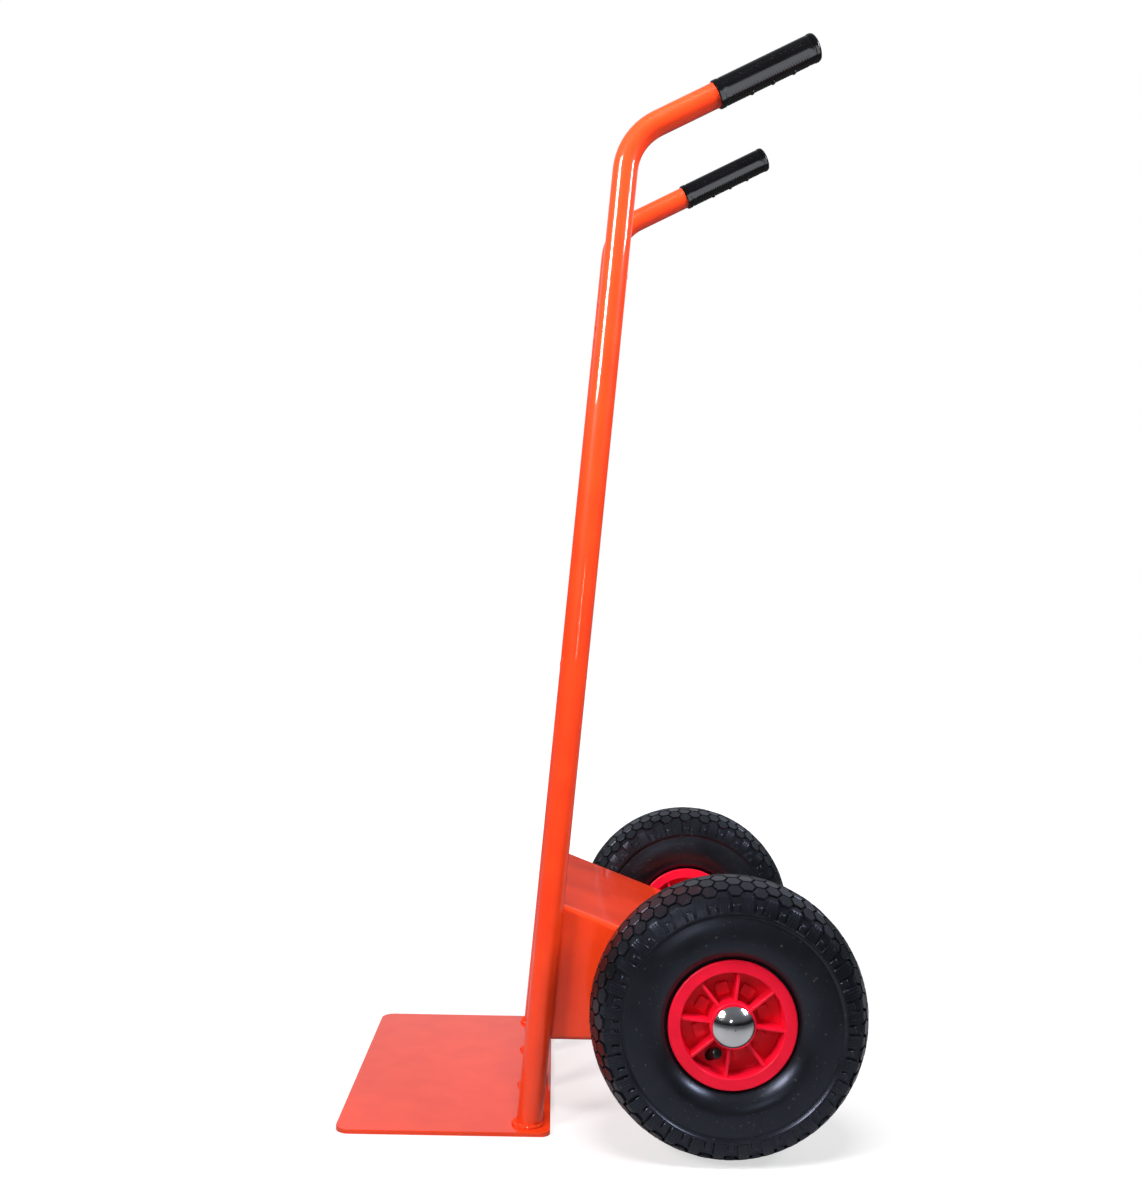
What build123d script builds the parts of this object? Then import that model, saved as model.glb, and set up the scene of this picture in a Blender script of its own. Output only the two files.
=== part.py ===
from build123d import *
import os
from math import cos, radians, sin, tan

# Hand truck. Millimetres, +Z up, +X towards the toe plate, +Y to the left of somebody who pushes it.
# The origin is on the floor, at the centre of the whole object's outline seen from above.

# ---- Driving dimensions: frame ------------------------------------------------------------------
TUBE_OD = 25.0             # main tubes, which also make the handles
TUBE_WALL = 2.0
TUBE_SPACING = 297.0       # between the two main tubes' axes
LEAN = 4.5                 # degrees, how far the back leans towards the wheels
BEND_HEIGHT = 972.0        # where the straight back and the straight handle would meet
BEND_RADIUS = 58.0         # of the tube's axis
HANDLE_RISE = 27.5         # degrees above level
HANDLE_LENGTH = 205.0      # from the meeting point to the tube's end
STAY_OD = 20.0             # inner uprights and cross-bars
STAY_WALL = 1.5
UPRIGHT_SPACING = 104.0    # between the two inner uprights' axes
MIDDLE_BAR_HEIGHT = 440.0
UPPER_BAR_HEIGHT = 835.0

# ---- Toe plate ----------------------------------------------------------------------------------
PLATE_OVERHANG = 21.5      # beyond the main tubes' axes, on each side
PLATE_DEPTH = 207.0
PLATE_THICK = 4.0
PLATE_BEHIND_FEET = 21.0   # from the main tubes' axes, at the floor, back to the plate's rear edge
PLATE_FRONT_RADIUS = 14.0
PLATE_REAR_RADIUS = 9.0
PLATE_EDGE_ROUND = 0.6

# ---- Axle and its bracket -----------------------------------------------------------------------
AXLE_OD = 20.0
AXLE_CHAMFER = 1.0
AXLE_BEHIND_FEET = 185.0   # from the main tubes' axes, at the floor, back to the axle
BRACKET_SHEET = 3.0
BRACKET_INSET = 8.5        # its side faces stand this far inside the main tubes' axes
BRACKET_SLOPE = 20.5       # degrees, the top face's fall towards the rear
BRACKET_OVER_AXLE = 25.0   # from the axle's axis to the top face, square to the face
BRACKET_BOTTOM = 82.0      # height of the side faces' lower edge
BRACKET_TAIL = 28.0        # how far the side faces reach behind the axle
BRACKET_BEND = 5.0         # outer radius of the two folds
BRACKET_TOP_CORNER = 8.0
BRACKET_TAIL_CORNER = 24.0
BRACKET_WELD_MARGIN = 6.0  # the welds to the tubes stop this far from the side faces' ends

# ---- Wheels -------------------------------------------------------------------------------------
WHEEL_RADIUS = 130.0
TYRE_WIDTH = 82.0
TREAD_INSET = 5.5          # the tread's edge stands this far inside the tyre's widest place
TREAD_DROP = 11.5          # how much smaller the radius is at the tread's edge
SHOULDER_DROP = 8.5        # height of the shoulder's slanted band, below the tread's edge
WALL_LEAN = 2.4            # how far the side wall has come in, at that band's foot
TREAD_THICK = 9.5          # rubber at the crown; the space inside the tyre is an oval
SIDE_WALL = 5.0
CAVITY_LIFT = 0.7          # from the bead seat to the oval's lowest place
WALL_LINE_LIFT = 6.0       # the tyre is widest this far outside the oval's centre
TUBE_RUBBER = 1.5          # inner tube's wall
TUBE_SLACK = 0.7           # between the inner tube and the tyre
BEAD_OPENING = 15.0        # half the gap between the tyre's two beads

RIM_SEAT_RADIUS = 50.8     # bead seat, a four-inch rim
RIM_FLANGE_HEIGHT = 8.7    # over the bead seat
RIM_FLANGE_FACE = 32.0     # from the wheel's middle plane to the flange's flat face
RIM_FLANGE_THICK = 4.8
RIM_WALL = 4.0             # thickness of the wall under the bead seat, at the web
RIM_DRAFT = 1.2            # how much wider the bay is at its mouth than at the web
RIM_WEB_FACE = 14.0        # from the middle plane to the web's outer face
RIM_WEB_THICK = 4.0
HUB_WALL = 5.12            # round the bearings
HUB_HALF_LENGTH = 34.0
FLANGE_BACK_SLOPE = 0.8    # the flange is this much thinner at its rim
FLANGE_FACE_ROUND = 1.6
FLANGE_BACK_ROUND = 1.4
MOUTH_ROUND = 1.2
WEB_ROUND = 2.0
HUB_ROUND = 1.2
ROOT = 0.5                 # how far what stands on the web reaches into it
RIB_COUNT = 8
RIB_TURN = -6.3            # degrees, where the first rib stands on the left wheel
RIGHT_WHEEL_TURN = 21.0    # degrees, how far the right wheel has rolled on from the left one
RIB_THICK = 3.0
RIB_ROUND = 0.9
RIB_RECESS = 2.5           # ribs' front edges lie this far below the flange's face
PAD_FROM_HUB = 9.5         # from the hub's outside to the middle of the web's raised pads
PAD_LONG = 11.0            # along the radius
PAD_WIDE = 13.0
PAD_RAISE = 3.5
PAD_ROUND = 2.5
PAD_EDGE_ROUND = 0.8
SCREW_OD = 5.0
SCREW_HEAD_OD = 9.0
SCREW_HEAD_HEIGHT = 3.0
SCREW_HEAD_ROUND = 1.2
SCREW_END_GAP = 1.0        # left under the outer web's face
CROSS_SLOT = (5.0, 1.1, 1.5)  # length, width and depth
BOSS_RADIUS = 5.5

ROLLER_OD = 6.0
ROLLER_COUNT = 8
ROLLER_LENGTH = 24.0
CAGE_LENGTH = 28.0
CAGE_INSET = 1.0           # the cage lies this far inside the hub's end
CAGE_OUTER_PLAY = 0.5      # radial play in the hub
CAGE_INNER_PLAY = 0.6      # radial play on the axle

VALVE_OD = 8.0
VALVE_BORE = 3.0
VALVE_KNEE_DEPTH = 9.3     # from the bead seat in to where the stem turns outwards
VALVE_KNEE_OUT = 5.0       # knee's distance from the middle plane
VALVE_TIP_FROM_HUB = 8.3
VALVE_TIP_OUT = 29.0
VALVE_BEND = 5.5
VALVE_CAP_OD = 10.0
VALVE_CAP_LENGTH = 9.0
VALVE_CAP_DEPTH = 5.4      # of its thread
VALVE_CAP_ROUND = 3.0

# ---- Axle fittings and grips --------------------------------------------------------------------
WASHER_OD = 36.0
WASHER_THICK = 2.0
SPACER_OD = 28.0
SPACER_LENGTH = 23.7       # between the bracket and the inner washer
CAP_RADIUS = 19.2
CAP_HEIGHT = 9.5
CAP_SKIRT = 1.5            # straight part below the dome
CAP_SHEET = 1.0
AXLE_IN_CAP = 4.75         # how far the axle's end reaches into the cap
PUSH_NUT_THICK = 0.8
PUSH_NUT_RADIUS = 16.5
PUSH_NUT_TEETH = 8
PUSH_NUT_SLOT = (3.9, 1.2)  # between two teeth: along the radius, and across
GRIP_WALL = 1.9
GRIP_LENGTH = 112.0
GRIP_END_WALL = 3.0
GRIP_ROUND = 3.5

# ---- Welds and clearances -----------------------------------------------------------------------
WELD = 3.0                 # leg of the beads at the cross-bars and the bracket
FOOT_WELD = 5.0            # leg of the beads on the toe plate
WELD_START = 4.0           # a bead starts this far from its post's axis
SEAM_WELD_SINK = 0.9       # how far behind the tube's surface the axis of a bracket weld lies
WELD_GAP = 0.2             # left between two tubes where one is cut to the other's curve
RUNNING = 0.04             # radial play of the bearing rollers
FREE = 0.3                 # gap between faces that turn past each other
SLIP = 0.1                 # radial play of what slides onto the axle or a tube
VALVE_PLAY = 1.2           # radial play of the valve stem in the rim
SEAT_PLAY = 0.2            # between the tyre's bead and the rim

# ---- Places worked out from them ----------------------------------------------------------------
tube_r = TUBE_OD / 2
stay_r = STAY_OD / 2
axle_r = AXLE_OD / 2
front_reach = PLATE_DEPTH - PLATE_BEHIND_FEET
rear_reach = AXLE_BEHIND_FEET + WHEEL_RADIUS
foot_x = (rear_reach - front_reach) / 2
axle_x = foot_x - AXLE_BEHIND_FEET
axle_z = WHEEL_RADIUS
tube_y = TUBE_SPACING / 2
upright_y = UPRIGHT_SPACING / 2
plate_width = TUBE_SPACING + 2 * PLATE_OVERHANG
bracket_half = tube_y - BRACKET_INSET
hub_inner_y = bracket_half + SPACER_LENGTH + WASHER_THICK + FREE
hub_outer_y = hub_inner_y + 2 * HUB_HALF_LENGTH
wheel_y = hub_inner_y + HUB_HALF_LENGTH
grip_r = tube_r + SLIP + GRIP_WALL
roller_circle = axle_r + RUNNING + ROLLER_OD / 2
hub_bore = roller_circle + ROLLER_OD / 2 + RUNNING
hub_r = hub_bore + HUB_WALL
tread_edge_r = WHEEL_RADIUS - TREAD_DROP
cavity_low = RIM_SEAT_RADIUS + CAVITY_LIFT
cavity_high = WHEEL_RADIUS - TREAD_THICK
cavity_centre = (cavity_low + cavity_high) / 2
cavity_half_height = (cavity_high - cavity_low) / 2
flange_r = RIM_SEAT_RADIUS + RIM_FLANGE_HEIGHT
bay_r = RIM_SEAT_RADIUS - RIM_WALL
mouth_r = bay_r + RIM_DRAFT
pad_circle = hub_r + PAD_FROM_HUB
knee_r = RIM_SEAT_RADIUS - VALVE_KNEE_DEPTH
valve_tip_r = hub_r + VALVE_TIP_FROM_HUB
cap_y = hub_outer_y + FREE + WASHER_THICK
axle_half = cap_y + AXLE_IN_CAP
rib_step = 360 / RIB_COUNT
valve_turn = RIB_TURN + 1.5 * rib_step
lean_dir = Vector(-sin(radians(LEAN)), 0, cos(radians(LEAN)))
handle_dir = Vector(-cos(radians(HANDLE_RISE)), 0, sin(radians(HANDLE_RISE)))
BIG = 4 * BEND_HEIGHT      # larger than the object, for half-space cuts
LOW = (Align.CENTER, Align.CENTER, Align.MIN)


def on_back(height, y):
    """The point at this height in the leaning plane that holds the tubes' axes."""
    return Vector(foot_x - height * tan(radians(LEAN)), y, height)


def bar(start, end, radius):
    """A round bar between two points."""
    along = end - start
    return Plane(origin=start, z_dir=along) * Cylinder(radius, along.length, align=LOW)


def below(height):
    """Everything under a height."""
    return Pos(0, 0, height) * Box(BIG, BIG, BIG, align=(Align.CENTER, Align.CENTER, Align.MAX))


def revolved(section):
    """A section drawn as (radius, distance from the wheel's middle plane), turned about the Z axis."""
    return revolve(Plane.XZ * section, Axis.Z, 360)


def rounded(section, corner, radius):
    """A drawn section with the corner nearest to a point rounded."""
    return fillet(section.vertices().sort_by_distance(Vector(*corner, 0))[0], radius)


def both_sides(shape):
    """A left-hand shape and its mirror image on the right."""
    return [shape, mirror(shape, about=Plane.XZ)]


def facing_out(side):
    """Turns a shape drawn with its outboard side up to face out on the left (1) or the right (-1)."""
    return Rot(-90 * side, 0, 0)


# ---- Frame tubes --------------------------------------------------------------------------------
def main_tube_bar(y, radius):
    """A main tube as a full bar of some radius: up the back, round the bend, out along the handle."""
    corner = on_back(BEND_HEIGHT, y)
    path = FilletPolyline(on_back(-TUBE_OD, y), corner, corner + handle_dir * HANDLE_LENGTH,
                          radius=BEND_RADIUS)
    return sweep(Plane(origin=path @ 0, z_dir=path % 0) * Circle(radius), path=path)


def main_tube(y):
    return main_tube_bar(y, tube_r) - main_tube_bar(y, tube_r - TUBE_WALL) - below(PLATE_THICK)


def back_bar(y, top, radius):
    """A straight bar in the back's plane, from under the plate to a height."""
    return bar(on_back(-TUBE_OD, y), on_back(top, y), radius)


def cross_bar_between(height, y_start, y_end, radius):
    return bar(on_back(height, y_start), on_back(height, y_end), radius)


def inner_upright(y):
    """From the toe plate to the upper cross-bar, its top cut to the bar's curve."""
    pipe = back_bar(y, UPPER_BAR_HEIGHT, stay_r) - back_bar(y, UPPER_BAR_HEIGHT, stay_r - STAY_WALL)
    pipe -= cross_bar_between(UPPER_BAR_HEIGHT, -tube_y, tube_y, stay_r + WELD_GAP)
    return pipe - below(PLATE_THICK)


def upper_crossbar():
    pipe = cross_bar_between(UPPER_BAR_HEIGHT, -tube_y, tube_y, stay_r)
    pipe -= cross_bar_between(UPPER_BAR_HEIGHT, -tube_y, tube_y, stay_r - STAY_WALL)
    for y in (-tube_y, tube_y):
        pipe -= back_bar(y, BEND_HEIGHT, tube_r + WELD_GAP)
    return pipe


def middle_crossbar(y_start, y_end, start_radius, end_radius):
    """One length of the middle cross-bar, both ends cut to the posts that it meets."""
    pipe = cross_bar_between(MIDDLE_BAR_HEIGHT, y_start, y_end, stay_r)
    pipe -= cross_bar_between(MIDDLE_BAR_HEIGHT, y_start, y_end, stay_r - STAY_WALL)
    pipe -= back_bar(y_start, UPPER_BAR_HEIGHT, start_radius + WELD_GAP)
    return pipe - back_bar(y_end, UPPER_BAR_HEIGHT, end_radius + WELD_GAP)


def saddle_weld(joint, bar_dir, bar_radius, post_dir, post_radius):
    """The bead where a bar's end meets a post: what both have in common once grown, less both."""
    reach = post_radius + 3 * WELD
    span = post_dir * (bar_radius + 3 * WELD)
    grown_bar = bar(joint + bar_dir * WELD_START, joint + bar_dir * reach, bar_radius + WELD)
    grown_post = bar(joint - span, joint + span, post_radius + WELD)
    bead = grown_bar & grown_post
    bead -= bar(joint, joint + bar_dir * reach, bar_radius)
    return bead - bar(joint - span, joint + span, post_radius)


def crossbar_welds():
    left = Vector(0, 1, 0)
    beads = []
    for side in (-1, 1):
        upper_end = on_back(UPPER_BAR_HEIGHT, side * tube_y)
        middle_end = on_back(MIDDLE_BAR_HEIGHT, side * tube_y)
        at_upright = on_back(MIDDLE_BAR_HEIGHT, side * upright_y)
        upright_top = on_back(UPPER_BAR_HEIGHT, side * upright_y)
        beads.append(saddle_weld(upper_end, left * -side, stay_r, lean_dir, tube_r))
        beads.append(saddle_weld(middle_end, left * -side, stay_r, lean_dir, tube_r))
        beads.append(saddle_weld(at_upright, left * side, stay_r, lean_dir, stay_r))
        beads.append(saddle_weld(at_upright, left * -side, stay_r, lean_dir, stay_r))
        beads.append(saddle_weld(upright_top, lean_dir * -1, stay_r, left, stay_r))
    return Compound([bead.solid() for bead in beads])


def foot_weld(y, radius):
    """The bead round a tube's foot on the toe plate."""
    sink = FOOT_WELD / 2
    foot = Plane(origin=on_back(PLATE_THICK, y) - lean_dir * sink, z_dir=lean_dir)
    bead = foot * Cone(radius + FOOT_WELD + sink, radius, FOOT_WELD + sink, align=LOW)
    return bead - below(PLATE_THICK) - back_bar(y, BRACKET_BOTTOM, radius)


def foot_welds():
    feet = [(tube_y, tube_r), (upright_y, stay_r), (-upright_y, stay_r), (-tube_y, tube_r)]
    return Compound([foot_weld(y, radius).solid() for y, radius in feet])


# ---- Toe plate ----------------------------------------------------------------------------------
def toe_plate():
    rear_x = foot_x - PLATE_BEHIND_FEET
    plate = Pos(rear_x + PLATE_DEPTH / 2, 0, 0) * Box(PLATE_DEPTH, plate_width, PLATE_THICK, align=LOW)
    uprights = plate.edges().filter_by(Axis.Z).sort_by(Axis.X)
    plate = fillet(uprights[:2], PLATE_REAR_RADIUS)
    plate = fillet(plate.edges().filter_by(Axis.Z).sort_by(Axis.X)[-2:], PLATE_FRONT_RADIUS)
    return fillet(plate.faces().sort_by(Axis.Z)[-1].edges(), PLATE_EDGE_ROUND)


# ---- Axle bracket -------------------------------------------------------------------------------
def bracket_block(inset, reach):
    """The bracket's outer block, or, with an inset, the space inside it drawn larger by reach."""
    fall = tan(radians(BRACKET_SLOPE))
    over = (BRACKET_OVER_AXLE - inset) / cos(radians(BRACKET_SLOPE))
    bottom = BRACKET_BOTTOM - reach
    tail_x = axle_x - BRACKET_TAIL - reach

    def top_z(x):
        return axle_z + over + (x - axle_x) * fall

    # Where the top line meets the leaning plane of the tubes' axes.
    back_slope = tan(radians(LEAN))
    front_x = (foot_x - (axle_z + over - axle_x * fall) * back_slope) / (1 + fall * back_slope)
    front_x += reach
    outline = Polyline((on_back(bottom, 0).X + reach, bottom), (front_x, top_z(front_x)),
                       (tail_x, top_z(tail_x)), (tail_x, bottom), close=True)
    side = make_face(outline)
    if not reach:
        side = rounded(side, (tail_x, top_z(tail_x)), BRACKET_TOP_CORNER)
        side = rounded(side, (tail_x, bottom), BRACKET_TAIL_CORNER)
    block = extrude(Plane.XZ * side, bracket_half - inset, both=True)
    slope_dir = Vector(cos(radians(BRACKET_SLOPE)), 0, sin(radians(BRACKET_SLOPE)))
    folds = [edge for edge in block.edges().filter_by(GeomType.LINE)
             if abs(abs(edge.tangent_at(0).dot(slope_dir)) - 1) < 1e-6]
    return fillet(folds, BRACKET_BEND - inset)


def axle_bracket():
    """Sheet folded into an inverted U. Its sides end against the main tubes and carry the axle."""
    sheet = bracket_block(0, 0) - bracket_block(BRACKET_SHEET, BRACKET_TAIL)
    for side in (-1, 1):
        sheet -= back_bar(side * upright_y, MIDDLE_BAR_HEIGHT, stay_r + WELD_GAP)
        sheet -= back_bar(side * tube_y, MIDDLE_BAR_HEIGHT, tube_r + WELD_GAP)
    return sheet.solids().sort_by(SortBy.VOLUME)[-1] - axle_bar(axle_half, axle_r + SLIP)


def bracket_welds(bracket):
    """Beads down the two side faces, where they meet the tubes, and round the axle inside."""
    low = BRACKET_BOTTOM + BRACKET_WELD_MARGIN
    top = axle_z + BRACKET_OVER_AXLE + AXLE_BEHIND_FEET * tan(radians(BRACKET_SLOPE))
    run = top - BRACKET_BEND - 2 * BRACKET_WELD_MARGIN - low
    weld_y = bracket_half + WELD / 2
    tube_back = (tube_r ** 2 - (tube_y - weld_y) ** 2) ** 0.5
    start = on_back(low, weld_y) - Vector(tube_back + SEAM_WELD_SINK, 0, 0)
    bead = bar(start, start + lean_dir * (run / lean_dir.Z), WELD)
    bead = bead - bracket - back_bar(tube_y, MIDDLE_BAR_HEIGHT, tube_r)
    place = Pos(axle_x, bracket_half - BRACKET_SHEET, axle_z) * Rot(90, 0, 0)
    ring = place * Cone(axle_r + WELD, axle_r, WELD, align=LOW) - axle_bar(axle_half, axle_r)
    beads = both_sides(bead) + both_sides(ring)
    return Compound([bead.solids().sort_by(SortBy.VOLUME)[-1] for bead in beads])


# ---- Axle, spacers, washers and caps ------------------------------------------------------------
def axle_bar(half_length, radius):
    return bar(Vector(axle_x, -half_length, axle_z), Vector(axle_x, half_length, axle_z), radius)


def axle():
    rod = axle_bar(axle_half, axle_r)
    return chamfer(rod.edges().filter_by(GeomType.CIRCLE), AXLE_CHAMFER)


def ring_on_axle(y_start, thickness, outer_radius):
    """A ring on the left half of the axle."""
    place = Pos(axle_x, y_start + thickness, axle_z) * Rot(90, 0, 0)
    return place * (Cylinder(outer_radius, thickness, align=LOW)
                    - Cylinder(axle_r + SLIP, thickness, align=LOW))


def axle_spacers():
    return Compound(both_sides(ring_on_axle(bracket_half, SPACER_LENGTH, SPACER_OD / 2)))


def axle_washers():
    inner = ring_on_axle(hub_inner_y - FREE - WASHER_THICK, WASHER_THICK, WASHER_OD / 2)
    outer = ring_on_axle(hub_outer_y + FREE, WASHER_THICK, WASHER_OD / 2)
    return Compound(both_sides(inner) + both_sides(outer))


def push_nuts():
    """Spring rings with teeth that bite on the axle's ends, inside the caps."""
    nut = ring_on_axle(cap_y, PUSH_NUT_THICK, PUSH_NUT_RADIUS)
    slot = Pos(axle_r + SLIP, 0, 0) * Box(2 * PUSH_NUT_SLOT[0], PUSH_NUT_SLOT[1], 4 * PUSH_NUT_THICK)
    for tooth in range(PUSH_NUT_TEETH):
        turned = Rot(0, 0, tooth * 360 / PUSH_NUT_TEETH) * slot
        nut -= Pos(axle_x, cap_y, axle_z) * Rot(90, 0, 0) * turned
    return Compound(both_sides(nut))


def axle_cap(side):
    """A pressed dome with a short straight skirt, drawn as (radius, height over the washer)."""
    rise = CAP_HEIGHT - CAP_SKIRT
    dome_radius = (CAP_RADIUS ** 2 + rise ** 2) / (2 * rise)
    centre = CAP_HEIGHT - dome_radius

    def shell_outline(inset):
        edge_r = CAP_RADIUS - inset
        reach = dome_radius - inset
        edge_h = centre + (reach ** 2 - edge_r ** 2) ** 0.5
        half = edge_r / 2
        mid = (half, centre + (reach ** 2 - half ** 2) ** 0.5)
        top = (0, centre + reach)
        lines = Polyline((0, 0), (edge_r, 0), (edge_r, edge_h))
        return make_face([*lines.edges(), *ThreePointArc((edge_r, edge_h), mid, top).edges(),
                          *Line(top, (0, 0)).edges()])

    dome = revolved(shell_outline(0)) - revolved(shell_outline(CAP_SHEET))
    return Pos(axle_x, side * cap_y, axle_z) * facing_out(side) * dome


# ---- Grips --------------------------------------------------------------------------------------
def grip(y):
    """A moulded sleeve on the handle, closed at its outer end."""
    tube_end = on_back(BEND_HEIGHT, y) + handle_dir * HANDLE_LENGTH
    start = tube_end + handle_dir * (GRIP_END_WALL - GRIP_LENGTH)
    sleeve = Cylinder(grip_r, GRIP_LENGTH, align=LOW)
    sleeve = fillet(sleeve.edges().filter_by(GeomType.CIRCLE).sort_by(Axis.Z)[-1], GRIP_ROUND)
    sleeve = Plane(origin=start, z_dir=handle_dir) * sleeve
    return sleeve - bar(start - handle_dir, tube_end, tube_r + SLIP)


# ---- Wheels, built about the Z axis with the outboard side up, then stood on the axle ------------
def tyre_outline():
    """The tyre's section as (distance from the middle plane, radius)."""
    heel = RIM_FLANGE_FACE - RIM_FLANGE_THICK - 2 * SEAT_PLAY
    seat = RIM_SEAT_RADIUS + SEAT_PLAY
    over_flange = flange_r + 3 * SEAT_PLAY
    belly = (TYRE_WIDTH / 2, cavity_centre + WALL_LINE_LIFT)
    wall_top = (TYRE_WIDTH / 2 - WALL_LEAN, tread_edge_r - SHOULDER_DROP)
    tread_edge = (TYRE_WIDTH / 2 - TREAD_INSET, tread_edge_r)
    crown = (0, WHEEL_RADIUS)
    pieces_of_outline = [
        Polyline(crown, (0, seat), (heel, seat), (heel, over_flange)),
        TangentArc(belly, (heel, over_flange), tangent=(0, -1)),
        TangentArc(belly, wall_top, tangent=(0, 1)),
        Line(wall_top, tread_edge),
        TangentArc(crown, tread_edge, tangent=(1, 0)),
    ]
    half = make_face([edge for line in pieces_of_outline for edge in line.edges()])
    return half + mirror(half, about=Plane.YZ)


def cavity(shrink):
    oval = Ellipse(TYRE_WIDTH / 2 - SIDE_WALL - shrink, cavity_half_height - shrink)
    return Pos(0, cavity_centre) * oval


def turned_section(section):
    """Turns a section drawn as (distance from the middle plane, radius) about the wheel's axis."""
    swapped = Plane(origin=(0, 0, 0), x_dir=(0, 0, 1), z_dir=(0, 1, 0)) * section
    return revolve(swapped, Axis.Z, 360)


def tyre():
    opening = Pos(0, RIM_SEAT_RADIUS) * Rectangle(2 * BEAD_OPENING, cavity_half_height)
    return turned_section(tyre_outline() - cavity(0) - opening)


def inner_tube():
    return turned_section(cavity(TUBE_SLACK) - cavity(TUBE_SLACK + TUBE_RUBBER))


def valve_bar(radius, extra):
    """The valve stem's path as a full bar: in through the rim's wall, then out through the web."""
    turn = radians(valve_turn)
    out = Vector(cos(turn), sin(turn), 0)

    def at(radius_from_axis, distance_out):
        return out * radius_from_axis + Vector(0, 0, distance_out)

    knee = at(knee_r, VALVE_KNEE_OUT)
    tip = at(valve_tip_r, VALVE_TIP_OUT)
    tip += (tip - knee).normalized() * extra
    foot = at(RIM_SEAT_RADIUS + VALVE_OD / 2, VALVE_KNEE_OUT)
    path = FilletPolyline(foot, knee, tip, radius=VALVE_BEND)
    return sweep(Plane(origin=path @ 0, z_dir=path % 0) * Circle(radius), path=path)


def valve_line():
    """The tip of the stem and the direction in which it points."""
    turn = radians(valve_turn)
    out = Vector(cos(turn), sin(turn), 0)
    knee = out * knee_r + Vector(0, 0, VALVE_KNEE_OUT)
    tip = out * valve_tip_r + Vector(0, 0, VALVE_TIP_OUT)
    return tip, (tip - knee).normalized()


def valve_stem():
    """A rubber-covered stem, its foot cut to the inner tube on which it is moulded."""
    stem = valve_bar(VALVE_OD / 2, 0) - valve_bar(VALVE_BORE / 2, 0)
    return stem - turned_section(cavity(TUBE_SLACK))


def valve_cap():
    tip, direction = valve_line()
    place = Plane(origin=tip - direction * VALVE_CAP_DEPTH, z_dir=direction)
    body = Cylinder(VALVE_CAP_OD / 2, VALVE_CAP_LENGTH, align=LOW)
    body = fillet(body.edges().filter_by(GeomType.CIRCLE).sort_by(Axis.Z)[-1], VALVE_CAP_ROUND)
    return place * (body - Cylinder(VALVE_OD / 2 + SLIP, VALVE_CAP_DEPTH, align=LOW))


def rim_half_blank():
    """One moulded half, without its pads and holes, with the outboard side up."""
    web_inner = RIM_WEB_FACE - RIM_WEB_THICK
    flange_back = RIM_FLANGE_FACE - RIM_FLANGE_THICK
    flange_rim = flange_back + FLANGE_BACK_SLOPE
    outline = Polyline(
        (hub_bore, 0), (hub_r, 0), (hub_r, web_inner), (bay_r, web_inner),
        (bay_r, 0), (RIM_SEAT_RADIUS, 0), (RIM_SEAT_RADIUS, flange_back),
        (flange_r, flange_rim), (flange_r, RIM_FLANGE_FACE),
        (mouth_r, RIM_FLANGE_FACE), (bay_r, RIM_WEB_FACE),
        (hub_r, RIM_WEB_FACE), (hub_r, HUB_HALF_LENGTH), (hub_bore, HUB_HALF_LENGTH),
        close=True)
    section = make_face(outline)
    section = rounded(section, (flange_r, RIM_FLANGE_FACE), FLANGE_FACE_ROUND)
    section = rounded(section, (flange_r, flange_rim), FLANGE_BACK_ROUND)
    section = rounded(section, (mouth_r, RIM_FLANGE_FACE), MOUTH_ROUND)
    section = rounded(section, (bay_r, RIM_WEB_FACE), WEB_ROUND)
    section = rounded(section, (hub_r, HUB_HALF_LENGTH), HUB_ROUND)
    blank = revolved(section)
    rib_low = RIM_WEB_FACE - ROOT
    rib_high = RIM_FLANGE_FACE - RIB_RECESS
    rib_start = hub_r - 2 * ROOT
    rib_length = mouth_r + ROOT - rib_start
    rib = Pos(rib_start + rib_length / 2, 0, rib_low) * Box(rib_length, RIB_THICK, rib_high - rib_low,
                                                            align=LOW)
    rib = fillet(rib.edges().filter_by(Axis.X).sort_by(Axis.Z)[-2:], RIB_ROUND)
    for number in range(RIB_COUNT):
        blank += Rot(0, 0, RIB_TURN + number * rib_step) * rib
    return blank


def bay_turn(number):
    """The direction of the middle of a bay, counted from the bay that holds the valve."""
    return valve_turn + number * rib_step


def with_pads(half, bays):
    """Adds the raised pads of the web in these bays."""
    pad = extrude(RectangleRounded(PAD_LONG, PAD_WIDE, PAD_ROUND), PAD_RAISE + ROOT)
    pad = fillet(pad.faces().sort_by(Axis.Z)[-1].edges(), PAD_EDGE_ROUND)
    for bay in bays:
        half += Rot(0, 0, bay_turn(bay)) * Pos(pad_circle, 0, RIM_WEB_FACE - ROOT) * pad
    return half


def at_screws(shape):
    """Copies of a shape in every second bay, where the rim's screws are."""
    return [Rot(0, 0, bay_turn(bay)) * Pos(pad_circle, 0, 0) * shape for bay in range(1, RIB_COUNT, 2)]


def rim_outer_half():
    """The outboard half: blind screw bosses and the way out for the valve."""
    half = with_pads(rim_half_blank(), range(1, RIB_COUNT))
    half += at_screws(Cylinder(BOSS_RADIUS, RIM_WEB_FACE - ROOT, align=LOW))
    half -= at_screws(Cylinder(SCREW_OD / 2, RIM_WEB_FACE, align=LOW))
    return half - valve_bar(VALVE_OD / 2 + VALVE_PLAY, VALVE_CAP_LENGTH)


def rim_inner_half():
    """The inboard half, the same moulding turned over: clearance holes for the screws."""
    half = with_pads(rim_half_blank(), range(RIB_COUNT))
    half += at_screws(Cylinder(BOSS_RADIUS, RIM_WEB_FACE - ROOT, align=LOW))
    half -= at_screws(Cylinder(SCREW_OD / 2 + SLIP, BIG, align=LOW))
    return mirror(half, about=Plane.XY)


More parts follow.
